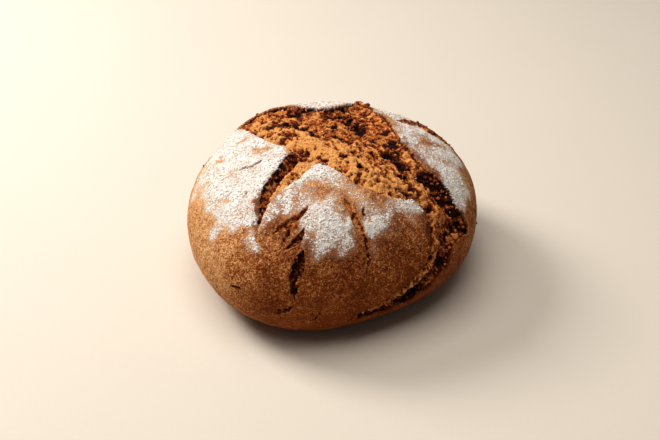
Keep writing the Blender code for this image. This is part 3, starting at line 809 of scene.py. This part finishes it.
class Painter:
    """Shorthand for the nodes of one material. Sizes are in metres. An input is a socket or a number."""

    def __init__(self, name):
        self.material = bpy.data.materials.new(name)
        self.material.use_nodes = True
        self.tree = self.material.node_tree
        self.tree.nodes.clear()
        self.places = self.add("ShaderNodeTexCoord").outputs["Object"]

    def add(self, kind, inputs=None, **settings):
        node = self.tree.nodes.new(kind)
        for name, value in settings.items():
            setattr(node, name, value)
        for socket, value in (inputs or {}).items():
            if isinstance(value, bpy.types.NodeSocket):
                self.tree.links.new(value, node.inputs[socket])
            else:
                node.inputs[socket].default_value = value
        return node

    def mask(self, name):
        return self.add("ShaderNodeAttribute", attribute_name=name).outputs["Fac"]

    def noise(self, size, detail=2, roughness=0.5, distortion=0, seed=0, places=None):
        inputs = {"Vector": places or self.places, "W": seed, "Scale": 1 / size, "Detail": detail}
        inputs |= {"Roughness": roughness, "Distortion": distortion}
        return self.add("ShaderNodeTexNoise", inputs, noise_dimensions="4D").outputs["Fac"]

    def math(self, operation, a, b=0.0, clamp=False):
        return self.add("ShaderNodeMath", {0: a, 1: b}, operation=operation, use_clamp=clamp).outputs[0]

    def sum(self, *terms):
        """Each term is a number, a socket, or a socket and how much of it."""
        total = 0.0
        for term in terms:
            socket, share = term if isinstance(term, tuple) else (term, None)
            scaled = socket if share is None else self.math("MULTIPLY", socket, share)
            total = self.math("ADD", total, scaled)
        return total

    def step(self, value, low, high):
        """0 where the value is at low or under, 1 where it is at high or over, and smooth between."""
        inputs = {"Value": value, "From Min": low, "From Max": high}
        return self.add("ShaderNodeMapRange", inputs, interpolation_type="SMOOTHSTEP").outputs["Result"]

    def ramp(self, value, stops):
        """stops is [(place, colour)], from low to high."""
        node = self.add("ShaderNodeValToRGB", {"Fac": value})
        elements = node.color_ramp.elements
        while len(elements) < len(stops):
            elements.new(0.5)
        for element, (place, colour) in zip(elements, stops):
            element.position = place
            element.color = (*colour, 1)
        return node.outputs["Color"]

    def mix(self, share, a, b):
        """A colour that goes from a to b."""
        inputs = {"Factor": share}
        for socket, colour in (("A", a), ("B", b)):
            inputs[socket] = (*colour, 1) if isinstance(colour, tuple) else colour
        node = self.tree.nodes.new("ShaderNodeMix")
        node.data_type = "RGBA"
        named = {"Factor": node.inputs[0], "A": node.inputs[6], "B": node.inputs[7]}
        for name, value in inputs.items():
            if isinstance(value, bpy.types.NodeSocket):
                self.tree.links.new(value, named[name])
            else:
                named[name].default_value = value
        return node.outputs[2]

    def finish(self, colour, height, roughness, specular):
        """height is the fine relief in metres."""
        bump = self.add("ShaderNodeBump", {"Height": height, "Distance": 1.0, "Strength": 1.0})
        inputs = {"Base Color": colour, "Roughness": roughness, "Normal": bump.outputs["Normal"]}
        inputs["Specular IOR Level"] = specular
        shader = self.add("ShaderNodeBsdfPrincipled", inputs)
        self.add("ShaderNodeOutputMaterial", {"Surface": shader.outputs["BSDF"]})
        return self.material


def bread_material():
    """Crust, torn crumb and flour in one material, told apart by the mesh's masks."""
    paint = Painter("baked_rye")
    grain = paint.noise(2.3 * MM, detail=4, roughness=0.75, seed=1)
    fine_grain = paint.noise(0.9 * MM, detail=2, seed=2)
    bumps = paint.noise(4.5 * MM, detail=3, roughness=0.7, seed=6)
    patches = paint.noise(24 * MM, detail=3, seed=3)
    low = paint.mask("low")
    height = paint.mask("height")
    hollow = paint.mask("hollow")
    toast_and_shade = paint.mask("toast_and_shade")
    crumb = paint.mask("crumb")
    flour = paint.mask("flour")
    hairline = paint.mask("hairline")

    # The crust's tone: its own patches and grain, with painted light and shade: paler on the left, the right
    # and the top, darker in the bumps' hollows and in hairline cracks, darker and redder low on the loaf
    bake_and_shade = paint.sum(
        -1.62, (patches, 1.0), (grain, 1.7), (fine_grain, 2.4), (low, 0.2), (hairline, 1.4),
        (paint.mask("painted_light"), -0.5), (toast_and_shade, 0.5), (bumps, -0.65),
    )  # fmt: skip
    crust = paint.ramp(bake_and_shade, CRUST_COLOURS)
    # Partly the crust's own redder colour, partly painted warm bounce light from the floor, low on the loaf
    crust = paint.mix(paint.math("MULTIPLY", low, 0.4), crust, CRUST_LOW_AND_BOUNCE)

    speckle = paint.sum((grain, 1.6), (fine_grain, 1.8), -1.7)
    clouds = paint.noise(12 * MM, detail=4, roughness=0.6, seed=5)
    thick = paint.sum((flour, 1.35), (paint.math("MULTIPLY", flour, clouds), 1.5), -0.72)
    unbroken = paint.math("SUBTRACT", 1, paint.math("MULTIPLY", hairline, 1.5), clamp=True)
    specks = paint.math("MULTIPLY", speckle, paint.step(flour, 0.08, 0.4))
    cover = paint.math("MULTIPLY", paint.step(paint.sum(thick, (specks, 3.2)), -0.1, 0.9), unbroken)
    thin = paint.math("MULTIPLY", paint.math("MULTIPLY", flour, VEIL_OPACITY), unbroken)
    veil = paint.math("MULTIPLY", thin, paint.sum(1.0, (speckle, 2.2)), clamp=True)
    crust = paint.mix(veil, crust, FLOUR_THIN)
    whiteness = paint.step(paint.sum(clouds, (speckle, 0.4), (flour, 0.2)), 0.4, 0.8)
    powder = paint.mix(whiteness, FLOUR_CREAM, FLOUR_WHITE)
    crust = paint.mix(cover, crust, powder)

    along = paint.add("ShaderNodeAttribute", attribute_name="strand_place").outputs["Vector"]
    strands = paint.noise(3 * MM, detail=3, roughness=0.6, distortion=0.6, seed=4, places=along)
    flecks = paint.noise(1.7 * MM, detail=4, roughness=0.75, seed=8, places=along)
    # The crumb's tone: its strands, flecks and toasting, with painted light and shade: lighter on high
    # ridges, darker in its pores and hollows
    tone = paint.sum(
        -2.42, (height, 1.2), (strands, 1.6), (flecks, 2.4), (hollow, -0.15), (toast_and_shade, -0.9),
        (fine_grain, 1.4), (patches, 0.4), (paint.mask("pits"), -0.3),
    )  # fmt: skip
    torn = paint.ramp(tone, CRUMB_COLOURS)
    # Flour dust on the crumb, plus a painted highlight: it gathers on the ridge tops
    dust_and_highlight = paint.step(paint.sum((flour, 1.0), (speckle, 1.5), (height, 0.6), (toast_and_shade, -0.5), -1.0), 0, 0.6)
    torn = paint.mix(dust_and_highlight, torn, FLOUR_THIN)
    colour = paint.mix(crumb, crust, torn)

    rough = paint.sum(0.68, (cover, 0.25), (crumb, 0.2))
    fibres = paint.math("MULTIPLY", paint.sum(strands, flecks), crumb)
    relief = paint.sum(
        (bumps, 2.5 * MM), (grain, 1.8 * MM), (fine_grain, 0.9 * MM), (cover, 0.15 * MM),
        (fibres, 1.2 * MM),
    )  # fmt: skip
    return paint.finish(colour, relief, roughness=paint.math("MINIMUM", rough, 0.95), specular=0.12)


def clump_material():
    paint = Painter("flour_grains")
    patches = paint.noise(3 * MM, detail=2, seed=9)
    colour = paint.mix(paint.step(patches, 0.35, 0.65), FLOUR_CREAM, FLOUR_WHITE)
    relief = paint.math("MULTIPLY", paint.noise(0.4 * MM, seed=10), 0.1 * MM)
    return paint.finish(colour, relief, roughness=0.95, specular=0.1)


def bit_material():
    paint = Painter("loose_crumb")
    patches = paint.noise(2.5 * MM, detail=3, seed=11)
    colour = paint.ramp(paint.sum((patches, 2.0), -0.5), CRUMB_COLOURS)
    relief = paint.math("MULTIPLY", paint.noise(0.5 * MM, seed=12), 0.3 * MM)
    return paint.finish(colour, relief, roughness=0.85, specular=0.2)


def floor_material():
    paint = Painter("pale_floor")
    blur = paint.noise(90 * MM, detail=2, seed=7)
    colour = paint.mix(blur, FLOOR_COLOUR, tuple(FLOOR_CLOUDS * c for c in FLOOR_COLOUR))
    weave = paint.noise(1.2 * MM, detail=2, seed=8)
    return paint.finish(colour, paint.math("MULTIPLY", weave, 0.1 * MM), roughness=0.9, specular=0.1)


def build_floor():
    mesh = bpy.data.meshes.new("studio_floor")
    corners = [(x * FLOOR_HALF, y * FLOOR_HALF, 0) for x, y in ((-1, -1), (1, -1), (1, 1), (-1, 1))]
    mesh.from_pydata(corners, [], [(0, 1, 2, 3)])
    mesh.materials.append(floor_material())
    floor = bpy.data.objects.new("studio_floor", mesh)
    bpy.context.scene.collection.objects.link(floor)


def add_light(name, place, size, watts):
    """A square area light that faces the middle of the loaf."""
    light = bpy.data.lights.new(name, "AREA")
    light.size = size
    light.energy = watts
    lamp = bpy.data.objects.new(name, light)
    lamp.location = place
    lamp.rotation_euler = (Vector(place) - AIM).to_track_quat("Z", "Y").to_euler()
    bpy.context.scene.collection.objects.link(lamp)


def add_camera():
    data = bpy.data.cameras.new("photo_camera")
    data.lens = CAMERA_LENS
    data.sensor_width = CAMERA_SENSOR
    camera = bpy.data.objects.new("photo_camera", data)
    camera.location = CAMERA_PLACE
    camera.rotation_euler = (math.radians(CAMERA_TILT), 0, 0)
    bpy.context.scene.collection.objects.link(camera)
    bpy.context.scene.camera = camera


def add_studio():
    build_floor()
    add_light("key", KEY_PLACE, KEY_SIZE, KEY_WATTS)
    add_light("top", TOP_PLACE, TOP_SIZE, TOP_WATTS)
    world = bpy.data.worlds.new("studio_air")
    world.use_nodes = True
    world.node_tree.nodes["Background"].inputs["Color"].default_value = (*SKY_COLOUR, 1)
    world.node_tree.nodes["Background"].inputs["Strength"].default_value = SKY_STRENGTH
    bpy.context.scene.world = world
    add_camera()
    bpy.context.scene.view_settings.view_transform = "Standard"
    bpy.context.scene.view_settings.look = "Medium High Contrast"


noise.seed_set(BEND_SEED)
loaf, loaf_mesh, clumps_wanted, bits_wanted = build_loaf(bread_material())
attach(loaf, "root")
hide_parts(NODE)
clumps = scatter(
    "flour_clumps", clump_material(), loaf_mesh, clumps_wanted,
    CLUMP_COUNT, CLUMP_SIZES, CLUMP_FLATNESS, CLUMP_SUBDIVISIONS, seed=12,
)  # fmt: skip
bits = scatter(
    "crumb_bits", bit_material(), loaf_mesh, bits_wanted,
    BIT_COUNT, BIT_SIZES, BIT_FLATNESS, BIT_SUBDIVISIONS, seed=13,
)  # fmt: skip
add_studio()
